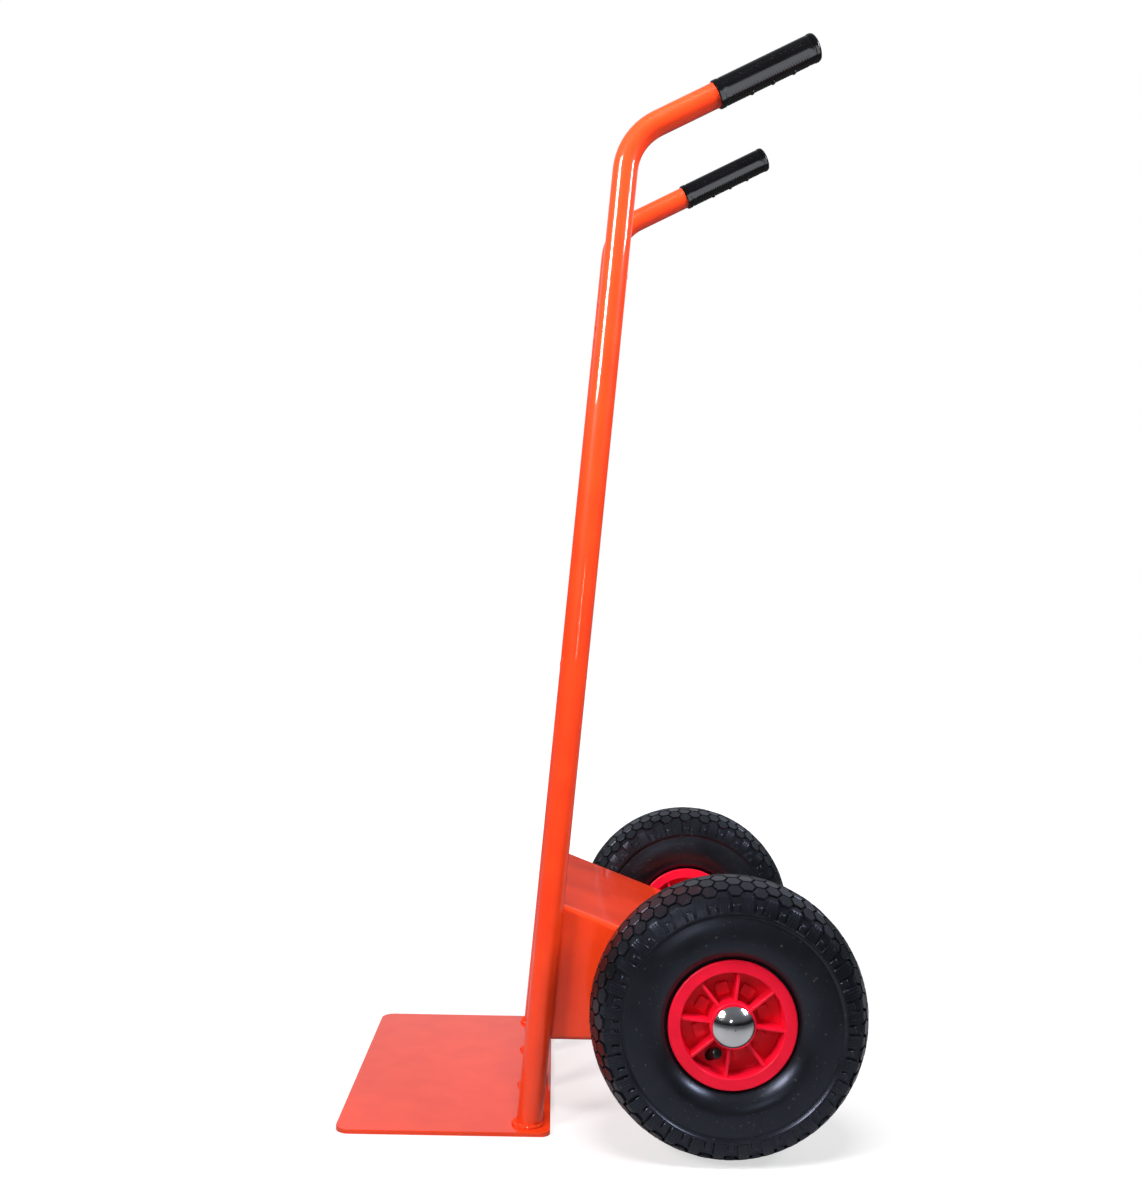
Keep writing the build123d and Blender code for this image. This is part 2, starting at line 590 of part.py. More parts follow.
def rim_screws():
    """Put in from the inboard side: the head rests on the inner half's pad."""
    head_seat = -(RIM_WEB_FACE + PAD_RAISE)
    reach = RIM_WEB_FACE - SCREW_END_GAP - head_seat
    shank = Pos(0, 0, head_seat) * Cylinder(SCREW_OD / 2, reach, align=LOW)
    head = Pos(0, 0, head_seat - SCREW_HEAD_HEIGHT) * Cylinder(SCREW_HEAD_OD / 2, SCREW_HEAD_HEIGHT,
                                                               align=LOW)
    head = fillet(head.edges().filter_by(GeomType.CIRCLE).sort_by(Axis.Z)[0], SCREW_HEAD_ROUND)
    long, wide, deep = CROSS_SLOT
    cross = Box(long, wide, 2 * deep) + Box(wide, long, 2 * deep)
    cross = Pos(0, 0, head_seat - SCREW_HEAD_HEIGHT) * cross
    return Compound(at_screws(shank + head - cross))


def at_bearings(shape):
    """A bearing piece, drawn from its lower end up, at both ends of the hub."""
    top = Pos(0, 0, HUB_HALF_LENGTH - CAGE_INSET - CAGE_LENGTH) * shape
    return [top, mirror(top, about=Plane.XY)]


def bearing_rollers():
    roller = Cylinder(ROLLER_OD / 2, ROLLER_LENGTH, align=LOW)
    rollers = []
    for number in range(ROLLER_COUNT):
        place = Rot(0, 0, number * 360 / ROLLER_COUNT)
        lift = (CAGE_LENGTH - ROLLER_LENGTH) / 2
        rollers += at_bearings(place * Pos(roller_circle, 0, lift) * roller)
    return Compound(rollers)


def bearing_cages():
    cage = Cylinder(hub_bore - CAGE_OUTER_PLAY, CAGE_LENGTH, align=LOW)
    cage -= Cylinder(axle_r + CAGE_INNER_PLAY, CAGE_LENGTH, align=LOW)
    pocket = Cylinder(ROLLER_OD / 2 + SLIP, ROLLER_LENGTH + 2 * SLIP, align=LOW)
    for number in range(ROLLER_COUNT):
        lift = (CAGE_LENGTH - ROLLER_LENGTH) / 2 - SLIP
        cage -= Rot(0, 0, number * 360 / ROLLER_COUNT) * Pos(roller_circle, 0, lift) * pocket
    return Compound(at_bearings(cage))


def stood_on_axle(shape, side):
    """Puts a wheel piece on the axle. Both wheels are the same, and the right one has rolled on."""
    roll = Rot(0, 0, 0 if side > 0 else RIGHT_WHEEL_TURN)
    return Pos(axle_x, side * wheel_y, axle_z) * facing_out(side) * roll * shape


# ---- Every piece, by name -----------------------------------------------------------------------
folded_bracket = axle_bracket()
pieces = {
    "toe_plate": toe_plate(),
    "foot_welds": foot_welds(),
    "upper_crossbar": upper_crossbar(),
    "middle_crossbar_left": middle_crossbar(upright_y, tube_y, stay_r, tube_r),
    "middle_crossbar_centre": middle_crossbar(-upright_y, upright_y, stay_r, stay_r),
    "middle_crossbar_right": middle_crossbar(-tube_y, -upright_y, tube_r, stay_r),
    "crossbar_welds": crossbar_welds(),
    "axle_bracket": folded_bracket,
    "bracket_welds": bracket_welds(folded_bracket),
    "axle": axle(),
    "axle_spacers": axle_spacers(),
    "axle_washers": axle_washers(),
    "push_nuts": push_nuts(),
}
wheel_pieces = {
    "tyre": tyre(),
    "inner_tube": inner_tube(),
    "rim_outer_half": rim_outer_half(),
    "rim_inner_half": rim_inner_half(),
    "rim_screws": rim_screws(),
    "bearing_rollers": bearing_rollers(),
    "bearing_cages": bearing_cages(),
    "valve_stem": valve_stem(),
    "valve_cap": valve_cap(),
}
for name, side in (("left", 1), ("right", -1)):
    pieces[f"{name}_frame_tube"] = main_tube(side * tube_y)
    pieces[f"{name}_inner_upright"] = inner_upright(side * upright_y)
    pieces[f"{name}_grip"] = grip(side * tube_y)
    pieces[f"{name}_axle_cap"] = axle_cap(side)
    for piece, shape in wheel_pieces.items():
        pieces[f"{name}_{piece}"] = stood_on_axle(shape, side)

os.makedirs("parts", exist_ok=True)
for name, shape in pieces.items():
    export_step(shape, f"parts/{name}.step")
    size = shape.bounding_box().size
    print(f"{name:26s} {len(shape.solids()):3d} solids  {size.X:7.1f} {size.Y:7.1f} {size.Z:7.1f}")
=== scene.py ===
# %% [markdown]
# # Hand truck: the looks around its design model
# A two-wheeled hand truck is bent steel tube, folded sheet and two pneumatic wheels. The design model
# already holds its frame, rims, axle and joints at their real size, so they are loaded first and never
# moved. What the design keeps plain is remade here: tyres with a real tread, moulded grips and weld
# beads. Then every piece gets the finish of its real material.

from math import acos, asin, atan2, cos, pi, radians, sin, sqrt

import bmesh
import bpy
from mathutils import Matrix, Vector, noise


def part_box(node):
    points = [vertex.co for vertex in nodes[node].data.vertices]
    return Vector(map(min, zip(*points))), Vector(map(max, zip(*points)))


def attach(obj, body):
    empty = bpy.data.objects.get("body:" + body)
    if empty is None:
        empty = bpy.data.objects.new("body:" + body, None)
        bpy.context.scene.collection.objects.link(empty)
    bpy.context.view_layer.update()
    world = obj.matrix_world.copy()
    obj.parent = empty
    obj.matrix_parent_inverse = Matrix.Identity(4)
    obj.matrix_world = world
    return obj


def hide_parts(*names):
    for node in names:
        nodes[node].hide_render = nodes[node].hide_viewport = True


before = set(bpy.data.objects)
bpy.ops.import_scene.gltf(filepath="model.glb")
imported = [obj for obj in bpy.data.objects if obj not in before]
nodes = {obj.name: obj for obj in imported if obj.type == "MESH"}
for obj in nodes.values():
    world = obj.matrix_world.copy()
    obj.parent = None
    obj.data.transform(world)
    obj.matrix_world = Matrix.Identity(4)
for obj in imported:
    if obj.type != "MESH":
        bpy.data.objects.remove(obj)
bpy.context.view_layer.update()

# %% [markdown]
# ## The view
# A product picture of a tall object is taken from its side, at half its height, so that uprights stay
# upright. Blender's camera looks along its own -Z. Three turns place it: upright and facing the object,
# then the small turn and tilt of a camera held by hand, and last its roll. A 36.6 mm lens at this
# distance gives the near wheel its size beside the far one.

# %% Camera
CAMERA_PLACE = Vector((0.0489, 1.345, 0.501))
CAMERA_TURN = 180 - 0.64   # degrees about the vertical, 180 looks along -Y
CAMERA_TILT = 90 + 0.68    # degrees, 90 is level
CAMERA_ROLL = 1.27

camera_data = bpy.data.cameras.new("camera")
camera_data.sensor_width = 36.0
camera_data.lens = 36.62
camera = bpy.data.objects.new("camera", camera_data)
turned = Matrix.Rotation(radians(CAMERA_TURN), 4, "Z")
tilted = Matrix.Rotation(radians(CAMERA_TILT), 4, "X")
rolled = Matrix.Rotation(radians(CAMERA_ROLL), 4, "Z")
camera.matrix_world = Matrix.Translation(CAMERA_PLACE) @ turned @ tilted @ rolled
bpy.context.scene.collection.objects.link(camera)
bpy.context.scene.camera = camera
print("camera at", [round(v, 3) for v in CAMERA_PLACE], "lens", camera_data.lens)

# %% [markdown]
# ## Nodes without repetition
# Every material and the room's light are small node trees. One helper is enough to build them: it makes a
# node, sets its properties, and fills each socket with a value or with the output of an earlier node.
# Colours are written as the hex values that a paint card or a screen shows, and one function makes them
# linear, which is what Blender's sockets hold.

# %% Helpers for colours and nodes
def linear(hex_colour):
    """An sRGB hex colour as linear red, green, blue and alpha."""
    shares = [int(hex_colour[start:start + 2], 16) / 255 for start in (0, 2, 4)]
    return [s / 12.92 if s <= 0.04045 else ((s + 0.055) / 1.055) ** 2.4 for s in shares] + [1.0]


def add(tree, kind, sockets=None, **settings):
    """Adds a node with settings as its properties. Each socket gets a value or another node's output."""
    node = tree.nodes.new("ShaderNode" + kind)
    for name, value in settings.items():
        setattr(node, name, value)
    for name, value in (sockets or {}).items():
        if isinstance(value, bpy.types.NodeSocket):
            tree.links.new(value, node.inputs[name])
        else:
            node.inputs[name].default_value = value
    return node


def new_material(name):
    """An empty material: its tree, its surface shader, and the place of each point in the object."""
    material = bpy.data.materials.new(name)
    material.use_nodes = True
    tree = material.node_tree
    tree.nodes.clear()
    shader = add(tree, "BsdfPrincipled")
    add(tree, "OutputMaterial", {"Surface": shader.outputs["BSDF"]})
    where = add(tree, "TexCoord").outputs["Object"]
    return material, tree, shader, where


print("orange in linear light:", [round(c, 3) for c in linear("F0501E")])

# %% [markdown]
# ## Studio: the room
# Glossy paint and chrome show the room itself, so the room is shaped like a photographer's studio. Behind
# the object hangs a lit backdrop, which the flat toe plate mirrors as a pale veil. The side of the camera
# is dark, because a bright one would wash out the colour of the paint. A faint ceiling lights what faces
# up. The white that the camera sees behind the object is brighter than the light it gives, as on an
# exposed white backdrop.

# %% Room light
BACKDROP_LIGHT = 0.58
CAMERA_SIDE_LIGHT = 0.07
CEILING_LIGHT = 0.11
BELOW_BACKDROP = 0.1         # share of the backdrop's light that is left near the floor

room = bpy.data.worlds.new("white room")
bpy.context.scene.world = room
room.use_nodes = True
room_tree = room.node_tree
room_tree.nodes.clear()
seen = add(room_tree, "Background", {"Color": linear("FFFFFF"), "Strength": 1.0})
direction = add(room_tree, "TexCoord").outputs["Generated"]
split = add(room_tree, "SeparateXYZ", {"Vector": direction})
backdrop = add(room_tree, "MapRange", {"Value": split.outputs["Y"], "From Min": -0.95, "From Max": -0.2,
                                       "To Min": BACKDROP_LIGHT, "To Max": CAMERA_SIDE_LIGHT})
above = add(room_tree, "MapRange", {"Value": split.outputs["Z"], "From Min": 0.18, "From Max": 0.28,
                                    "To Min": BELOW_BACKDROP, "To Max": 1.0})
lit = add(room_tree, "Math", {0: backdrop.outputs["Result"], 1: above.outputs["Result"]},
          operation="MULTIPLY")
ceiling = add(room_tree, "MapRange", {"Value": split.outputs["Z"], "From Min": 0.1, "From Max": 0.8,
                                      "To Min": 0.0, "To Max": CEILING_LIGHT})
bounced = add(room_tree, "Math", {0: lit.outputs["Value"], 1: ceiling.outputs["Result"]}, operation="ADD")
given = add(room_tree, "Background", {"Color": linear("F4F8FF"), "Strength": bounced.outputs["Value"]})
is_camera = add(room_tree, "LightPath").outputs["Is Camera Ray"]
both = add(room_tree, "MixShader", {"Fac": is_camera, 1: given.outputs[0], 2: seen.outputs[0]})
add(room_tree, "OutputWorld", {"Surface": both.outputs[0]})
bpy.context.scene.view_settings.view_transform = "Standard"
print("room light", BACKDROP_LIGHT, "behind,", CAMERA_SIDE_LIGHT, "in front,", CEILING_LIGHT, "above")

# %% [markdown]
# ## Studio: the lamps
# A lamp is seen as its own shape in gloss. Two tall soft boxes high at both sides draw the two long
# streaks on the tubes, and their light is kept near the handles, so that the upper part is the brightest.
# A fill above lights everything softly and isn't mirrored at all. A small lamp beside the camera makes
# the little stars on chrome. None of them is in the picture itself.

# %% Lamps
def soft_box(name, place, target, width, height, watts, colour, spread=180):
    """A lamp with its sides in metres at a place, facing a target. A small spread keeps it narrow."""
    data = bpy.data.lights.new(name, "AREA")
    data.shape = "RECTANGLE"
    data.size = width
    data.size_y = height
    data.energy = watts
    data.color = linear(colour)[:3]
    data.spread = radians(spread)
    lamp = bpy.data.objects.new(name, data)
    away = Vector(place) - Vector(target)
    turned = away.to_track_quat("Z", "Y").to_matrix().to_4x4()
    lamp.matrix_world = Matrix.Translation(Vector(place)) @ turned
    lamp.visible_camera = False
    bpy.context.scene.collection.objects.link(lamp)
    return lamp


HANDLES = Vector((0.0, 0.15, 0.95))
NARROW = 60                  # degrees

soft_box("left soft box", (1.45, 1.40, 1.60), HANDLES, 0.64, 0.82, 10.4, "FFFCFA", NARROW)
soft_box("right soft box", (-1.62, 0.82, 1.66), HANDLES, 0.36, 0.8, 6.8, "F4F8FF", NARROW)
fill = soft_box("overhead fill", (0.0, 1.1, 2.4), HANDLES, 0.8, 0.6, 6.6, "FFFFFF", NARROW)
fill.visible_glossy = False
soft_box("camera lamp", (0.05, 1.45, 0.52), (0.02, 0.15, 0.52), 0.02, 0.20, 0.6, "FFFFFF")

# %% [markdown]
# ## Studio: the floor
# A matt floor takes the soft shadow that sets a heavy object down. In an exposed studio picture it is
# nearly white, but a floor that bright would light the object from below. So its paint is a light grey,
# and it glows only for the camera, weaker under the object, where the shadow has to show.

# %% Floor
FLOOR_HALF = 15.0
GLOW_NEAR = 0.62
GLOW_FAR = 1.0

floor_mesh = bmesh.new()
bmesh.ops.create_grid(floor_mesh, x_segments=1, y_segments=1, size=FLOOR_HALF)
floor_data = bpy.data.meshes.new("floor")
floor_mesh.to_mesh(floor_data)
floor_mesh.free()
floor = bpy.data.objects.new("floor", floor_data)
bpy.context.scene.collection.objects.link(floor)

floor_paint, tree, shader, where = new_material("matt pale floor paint")
shader.inputs["Roughness"].default_value = 0.6
shader.inputs["Emission Color"].default_value = linear("FFFFFF")
# painted light: for the camera the floor glows, 0.62 near the object rising to 1.0 from 1.5 m out, so the
# far floor reads white
distance = add(tree, "VectorMath", {0: where}, operation="LENGTH").outputs["Value"]
glow_by_distance = add(tree, "MapRange", {"Value": distance, "From Min": 0.3, "From Max": 1.5,
                              "To Min": GLOW_NEAR, "To Max": GLOW_FAR})
for_camera = add(tree, "LightPath").outputs["Is Camera Ray"]
glow = add(tree, "Math", {0: for_camera, 1: glow_by_distance.outputs["Result"]}, operation="MULTIPLY")
tree.links.new(glow.outputs["Value"], shader.inputs["Emission Strength"])
patches = add(tree, "TexNoise", {"Vector": where, "Scale": 6.0, "Detail": 3.0})
tone = add(tree, "ValToRGB", {"Fac": patches.outputs["Fac"]})
tone.color_ramp.elements[0].color = linear("A8A8A8")
tone.color_ramp.elements[1].color = linear("B4B4B4")
tree.links.new(tone.outputs["Color"], shader.inputs["Base Color"])
floor_data.materials.append(floor_paint)
print("floor", floor.dimensions[:2])

# %% [markdown]
# ## Orange enamel
# The frame, the toe plate and the bracket were welded first and then sprayed with one glossy enamel.
# Sprayed enamel is a coloured layer under its own clear skin: sharp reflections, a soft body colour, and
# the fine unevenness that painters call orange peel. A coat on the surface shader gives the sharp skin.
# The colour under it hardly shines by itself, so its own specular level is low. Two noises bend the skin:
# peel about 3 mm wide, and slow waves of a few centimetres where the spray overlapped.

# %% Enamel
MM = 0.001
PEEL_WIDTH = 3.0 * MM
WAVE_WIDTH = 40.0 * MM

enamel, tree, shader, where = new_material("sprayed orange enamel on steel")
shader.inputs["Roughness"].default_value = 0.42
shader.inputs["IOR"].default_value = 1.5
shader.inputs["Specular IOR Level"].default_value = 0.12
shader.inputs["Coat Weight"].default_value = 1.0
shader.inputs["Coat Roughness"].default_value = 0.06
shader.inputs["Coat IOR"].default_value = 1.5
waves = add(tree, "TexNoise", {"Vector": where, "Scale": 1 / WAVE_WIDTH, "Detail": 2.0})
tone = add(tree, "ValToRGB", {"Fac": waves.outputs["Fac"]})
tone.color_ramp.elements[0].position = 0.3
tone.color_ramp.elements[0].color = linear("EE3C16")
tone.color_ramp.elements[1].position = 0.7
tone.color_ramp.elements[1].color = linear("F64418")
tree.links.new(tone.outputs["Color"], shader.inputs["Base Color"])
peel = add(tree, "TexNoise", {"Vector": where, "Scale": 1 / PEEL_WIDTH, "Detail": 1.0})
rough_skin = add(tree, "Bump", {"Height": peel.outputs["Fac"], "Strength": 0.04, "Distance": 0.2 * MM})
wavy_skin = add(tree, "Bump", {"Height": waves.outputs["Fac"], "Strength": 0.06, "Distance": 1.0 * MM,
                               "Normal": rough_skin.outputs["Normal"]})
tree.links.new(wavy_skin.outputs["Normal"], shader.inputs["Normal"])
tree.links.new(wavy_skin.outputs["Normal"], shader.inputs["Coat Normal"])
print(enamel.name, len(tree.nodes), "nodes")

# %% [markdown]
# ## Metals
# Two steels share one recipe. The axle and its fittings are zinc plated: a soft grey shine, uneven where
# the bath left it. The caps are chromed, almost a mirror. A metal's colour is its reflection, so metallic
# is 1 and the base colour is the tint of the reflection. The difference is in roughness, and in how much
# it varies.

# %% Zinc-plated steel and chrome
def metal(name, dark, light, roughness_low, roughness_high, cloud_width):
    """A metal whose tint and polish drift over clouds of this width."""
    material, tree, shader, where = new_material(name)
    shader.inputs["Metallic"].default_value = 1.0
    clouds = add(tree, "TexNoise", {"Vector": where, "Scale": 1 / cloud_width, "Detail": 4.0})
    tone = add(tree, "ValToRGB", {"Fac": clouds.outputs["Fac"]})
    tone.color_ramp.elements[0].color = linear(dark)
    tone.color_ramp.elements[1].color = linear(light)
    polish = add(tree, "MapRange", {"Value": clouds.outputs["Fac"], "To Min": roughness_low,
                                    "To Max": roughness_high})
    tree.links.new(tone.outputs["Color"], shader.inputs["Base Color"])
    tree.links.new(polish.outputs["Result"], shader.inputs["Roughness"])
    return material


zinc = metal("zinc-plated steel", "A9AEB4", "CDD1D4", 0.22, 0.42, 4.0 * MM)
chrome = metal("chromed steel", "D9DCDF", "EEF0F2", 0.10, 0.17, 12.0 * MM)
print(zinc.name, "and", chrome.name)

# %% [markdown]
# ## Plastics and rubbers
# Moulded plastic takes its gloss from the mould: a soft satin on the red rims, a deep shine on the grips.
# What differs is the base colour, how sharp the shine is, and the width and depth of the grain. The
# recipe below keeps those as its values, so that each real material is one line, with its typical index
# of refraction. The rims also let a little light into the plastic, which warms the edges of their ribs.

# %% Moulded plastics
GLOSS_DRIFT = 0.05           # how far the roughness drifts either way over a moulding


def moulded(name, dark, light, roughness, ior, grain_width, grain_depth):
    """A moulded plastic or rubber with a grain of this width and depth."""
    material, tree, shader, where = new_material(name)
    shader.inputs["IOR"].default_value = ior
    clouds = add(tree, "TexNoise", {"Vector": where, "Scale": 1 / (25.0 * MM), "Detail": 3.0})
    tone = add(tree, "ValToRGB", {"Fac": clouds.outputs["Fac"]})
    tone.color_ramp.elements[0].position = 0.3
    tone.color_ramp.elements[0].color = linear(dark)
    tone.color_ramp.elements[1].position = 0.7
    tone.color_ramp.elements[1].color = linear(light)
    gloss = add(tree, "MapRange", {"Value": clouds.outputs["Fac"], "To Min": roughness - GLOSS_DRIFT,
                                   "To Max": roughness + GLOSS_DRIFT})
    grain = add(tree, "TexNoise", {"Vector": where, "Scale": 1 / grain_width, "Detail": 2.0})
    skin = add(tree, "Bump", {"Height": grain.outputs["Fac"], "Strength": 0.5, "Distance": grain_depth})
    tree.links.new(tone.outputs["Color"], shader.inputs["Base Color"])
    tree.links.new(gloss.outputs["Result"], shader.inputs["Roughness"])
    tree.links.new(skin.outputs["Normal"], shader.inputs["Normal"])
    return material


rim_plastic = moulded("moulded red polypropylene", "E41030", "F61437", 0.38, 1.49, 1.2 * MM, 0.04 * MM)
rim_shader = rim_plastic.node_tree.nodes["Principled BSDF"]
rim_shader.inputs["Specular IOR Level"].default_value = 0.3
rim_shader.inputs["Subsurface Weight"].default_value = 0.12
rim_shader.inputs["Subsurface Radius"].default_value = (4.0 * MM, 1.0 * MM, 1.0 * MM)
nylon = moulded("natural nylon", "DDD8CA", "E8E4D8", 0.40, 1.53, 1.0 * MM, 0.03 * MM)
cap_plastic = moulded("moulded black plastic", "0C0C0D", "141416", 0.30, 1.49, 0.8 * MM, 0.03 * MM)
tube_rubber = moulded("butyl rubber", "141414", "1C1C1C", 0.55, 1.52, 1.0 * MM, 0.05 * MM)
grip_vinyl = moulded("moulded black vinyl", "060607", "0A0A0C", 0.18, 1.54, 1.2 * MM, 0.01 * MM)
grip_shader = grip_vinyl.node_tree.nodes["Principled BSDF"]
grip_shader.inputs["Specular IOR Level"].default_value = 0.25
print("rims, cages, valve caps, tubes and grips have their plastics")

# %% [markdown]
# ## Tyre rubber
# A tyre is vulcanised in a steel mould. Carbon black makes it nearly black, the mould's polish gives the
# side wall a dull shine, and dust settles on it as pale specks. Two things drive the material: a fine
# noise for the mould's texture, and a rare speckle, cut high out of another noise, that turns a little of
# the surface grey.

# %% Vulcanised rubber
SPECK_WIDTH = 2.2 * MM

rubber, tree, shader, where = new_material("vulcanised tyre rubber")
shader.inputs["IOR"].default_value = 1.52
shader.inputs["Specular IOR Level"].default_value = 0.55
shader.inputs["Specular Tint"].default_value = linear("D4DEFF")
clouds = add(tree, "TexNoise", {"Vector": where, "Scale": 1 / (30.0 * MM), "Detail": 4.0})
tone = add(tree, "ValToRGB", {"Fac": clouds.outputs["Fac"]})
tone.color_ramp.elements[0].position = 0.3
tone.color_ramp.elements[0].color = linear("0E1013")
tone.color_ramp.elements[1].position = 0.75
tone.color_ramp.elements[1].color = linear("16181C")
dust = add(tree, "TexNoise", {"Vector": where, "Scale": 1 / SPECK_WIDTH, "Detail": 0.0})
specks = add(tree, "MapRange", {"Value": dust.outputs["Fac"], "From Min": 0.76, "From Max": 0.84})
dusty = add(tree, "Mix", {"Factor": specks.outputs["Result"], 6: tone.outputs["Color"],
                          7: linear("3C3C38")}, data_type="RGBA")
gloss = add(tree, "MapRange", {"Value": clouds.outputs["Fac"], "To Min": 0.24, "To Max": 0.36})
texture = add(tree, "TexNoise", {"Vector": where, "Scale": 1 / (1.1 * MM), "Detail": 2.0})
skin = add(tree, "Bump", {"Height": texture.outputs["Fac"], "Strength": 0.3, "Distance": 0.06 * MM})
tree.links.new(dusty.outputs[2], shader.inputs["Base Color"])
tree.links.new(gloss.outputs["Result"], shader.inputs["Roughness"])
tree.links.new(skin.outputs["Normal"], shader.inputs["Normal"])
print(rubber.name, len(tree.nodes), "nodes")

# %% [markdown]
# ## Dressing the design's own pieces
# Every node of the design model names the material slot that it is made in. The shapes of most of them
# are right already, so they only need their finish: the one material in each mesh is exchanged for ours.

# %% Materials on the CAD nodes
FINISHES = {
    "red_enamel": enamel,
    "plated_steel": zinc,
    "chromed_steel": chrome,
    "black_pvc": grip_vinyl,
    "tyre_rubber": rubber,
    "tube_rubber": tube_rubber,
    "red_plastic": rim_plastic,
    "white_nylon": nylon,
    "black_cap": cap_plastic,
}
for node in nodes.values():
    for place in node.material_slots:
        place.material = FINISHES[place.material.name.split(".")[0]]
print(len(FINISHES), "finishes on", len(nodes), "nodes")

# %% [markdown]
# ## From a bmesh to a finished piece
# New pieces are drawn in millimetres around their own axis, then turned and moved into their place. The
# helper below closes seams, turns faces outwards, scales to metres and lets faces shade smoothly except
# at real edges. The object itself stays at the origin: its place is in its mesh, as with the design's own
# nodes.

# %% Helper that finishes a piece
SHARP_ANGLE = radians(38)


def finish_piece(bm, name, place, material, body, replaced):
    """Makes a bmesh in millimetres a piece in metres that rides on a body and stands for a CAD node."""
    bmesh.ops.remove_doubles(bm, verts=bm.verts, dist=0.0005)
    bmesh.ops.recalc_face_normals(bm, faces=bm.faces)
    bmesh.ops.scale(bm, vec=(MM, MM, MM), verts=bm.verts)
    bmesh.ops.transform(bm, matrix=place, verts=bm.verts)
    mesh = bpy.data.meshes.new(name)
    bm.to_mesh(mesh)
    bm.free()
    mesh.shade_smooth()
    mesh.set_sharp_from_angle(angle=SHARP_ANGLE)
    mesh.materials.append(material)
    piece = bpy.data.objects.new(name, mesh)
    bpy.context.scene.collection.objects.link(piece)
    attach(piece, body)
    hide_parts(replaced)
    print(f"{name}: {len(mesh.vertices)} vertices, {len(mesh.polygons)} faces")
    return piece


# %% [markdown]
# ## Tyres: the tread's knobs
# The tread is a net of six-sided knobs. Along the tyre they repeat every 1/32 turn, and every second row
# is shifted by half a step, like honeycomb. Modelling 300 knobs by hand would be slow, so one step is
# built and then spun into 32 copies. A knob starts as a filled six-sided circle, is pulled up, and gets a
# small bevel. Rows across the crown are the same knob turned about the centre of the crown's arc.

# %% Sizes of the tyre, from its CAD box
tyre_low, tyre_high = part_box("left_tyre")
TYRE_RADIUS = (tyre_high.z - tyre_low.z) / 2 / MM
TYRE_HALF = (tyre_high.y - tyre_low.y) / 2 / MM
STEPS_ROUND = 32
STEP = 2 * pi / STEPS_ROUND
TREAD_HALF = 35.5            # half the tread's width, at its shoulder
TREAD_DROP = 11.5            # how much lower the tread is there
CROWN_RADIUS = (TREAD_HALF ** 2 + TREAD_DROP ** 2) / (2 * TREAD_DROP)
CROWN_CENTRE = TYRE_RADIUS - CROWN_RADIUS
KNOB_HEIGHT = 3.2            # with the part that is sunk into the casing
GROOVE_DEPTH = 2.4
GROOVE_WIDTH = 1.7
KNOB_BEVEL = 0.45
ROWS_BESIDE_MIDDLE = 4
knob_reach = 2 * pi * TYRE_RADIUS / STEPS_ROUND / 3
row_turn = knob_reach * sqrt(0.75) / CROWN_RADIUS
print("crown radius", round(CROWN_RADIUS, 1), "knobs", round(2 * knob_reach, 1), "mm wide")

# %% One knob of a row
def parts_of(geometry, kind):
    """The vertices, edges or faces in an operator's result."""
    return [item for item in geometry if isinstance(item, kind)]


def add_knob(bm, row):
    """A knob in a row counted from the tread's middle."""
    turn = row * row_turn
    narrowing = (CROWN_CENTRE + CROWN_RADIUS * cos(turn)) / TYRE_RADIUS
    pointed_along = Matrix.Rotation(radians(90), 4, "Z")
    narrowed = Matrix.Diagonal((narrowing, 1, 1, 1)) @ pointed_along
    made = bmesh.ops.create_circle(bm, cap_ends=True, segments=6, matrix=narrowed,
                                   radius=knob_reach - GROOVE_WIDTH / sqrt(3))
    base = list(made["verts"][0].link_faces)
    raised = bmesh.ops.extrude_face_region(bm, geom=base)["geom"]
    top = parts_of(raised, bmesh.types.BMFace)
    bmesh.ops.translate(bm, vec=(0, 0, KNOB_HEIGHT), verts=parts_of(raised, bmesh.types.BMVert))
    verts = set(base[0].verts) | set(top[0].verts)
    rim = bmesh.ops.bevel(bm, geom=top[0].edges[:], offset=KNOB_BEVEL, segments=1, profile=0.5, material=-1,
                          affect="EDGES")
    verts = {v for v in verts if v.is_valid} | set(rim["verts"])
    on_crown = (Matrix.Rotation(STEP / 2 * (row % 2), 4, "Y") @ Matrix.Translation((0, 0, CROWN_CENTRE))
                @ Matrix.Rotation(-turn, 4, "X")
                @ Matrix.Translation((0, 0, CROWN_RADIUS - KNOB_HEIGHT - 0.2)))
    bmesh.ops.transform(bm, matrix=on_crown, verts=list(verts))


# %% [markdown]
# ## Tyres: shoulder lugs
# Below the net, two kinds of lug alternate on each shoulder: a wide one that reaches up between the outer
# knobs and carries fine ribs, and a plain short one under each outer knob. Both end at a raised ring on
# the side wall. A lug is a flat outline across the tyre, pulled out along the tread and bevelled.

# %% One lug
WIDE_OUTLINE = [(29.6, 121.9), (35.2, 118.4), (38.3, 110.0), (39.7, 103.8), (37.0, 103.6), (33.5, 110.0),
                (30.5, 116.0), (27.5, 119.0)]
SHORT_OUTLINE = [(37.6, 111.8), (38.2, 110.0), (39.6, 103.8), (37.0, 103.6), (33.5, 110.0), (34.5, 112.6)]
RIB_OUTLINE = [(35.5, 118.6), (38.8, 110.0), (40.1, 104.4), (38.4, 104.4), (37.0, 110.0), (33.6, 117.6)]


